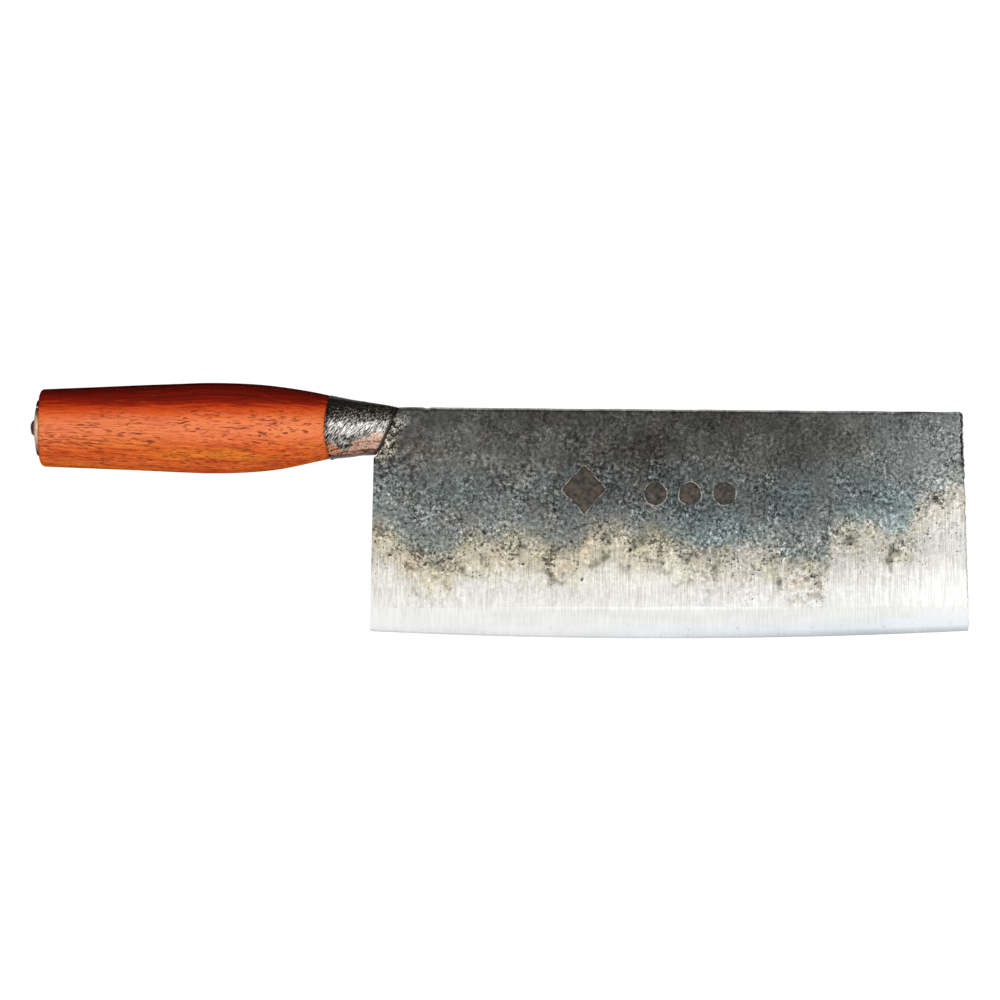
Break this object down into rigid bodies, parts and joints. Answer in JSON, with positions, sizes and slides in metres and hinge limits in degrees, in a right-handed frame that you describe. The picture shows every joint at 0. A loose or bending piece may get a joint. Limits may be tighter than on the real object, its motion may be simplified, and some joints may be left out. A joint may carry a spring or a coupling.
{
  "type": "meat cleaver",
  "caption": "Rectangular forged cleaver: clad steel blade, iron ferrule brazed to its heel, turned barrel grip on a through tang peened over a domed washer.",
  "frame": {"origin": "on the handle axis at the centre of the grip", "axes": "+X along the handle axis towards the tip of the blade, +Z from the cutting edge up to the spine, +Y through the thickness towards the left face"},
  "size_m": [0.3144, 0.0304, 0.0856],
  "materials": {
    "hard_steel": "fine ground, bright",
    "scaled_iron": "dark forge scale over the upper blade, ground bright towards the edge",
    "tang_iron": "black forged, head peened",
    "washer_iron": "black sheet, worn on the crown",
    "bedding": "dull dark resin",
    "handle_wood": "turned, red-brown oil stain, satin",
    "ferrule_iron": "file marked over dark scale",
    "copper_braze": "dull copper, uneven"
  },
  "bodies": {
    "root": {"blade_core": "hard_steel", "blade_cladding_right": "scaled_iron", "blade_cladding_left": "scaled_iron", "tang": "tang_iron", "butt_washer": "washer_iron", "tang_bedding": "bedding", "handle_grip": "handle_wood", "ferrule": "ferrule_iron", "ferrule_seam_braze": "copper_braze", "neck_braze": "copper_braze"}
  },
  "joints": []
}
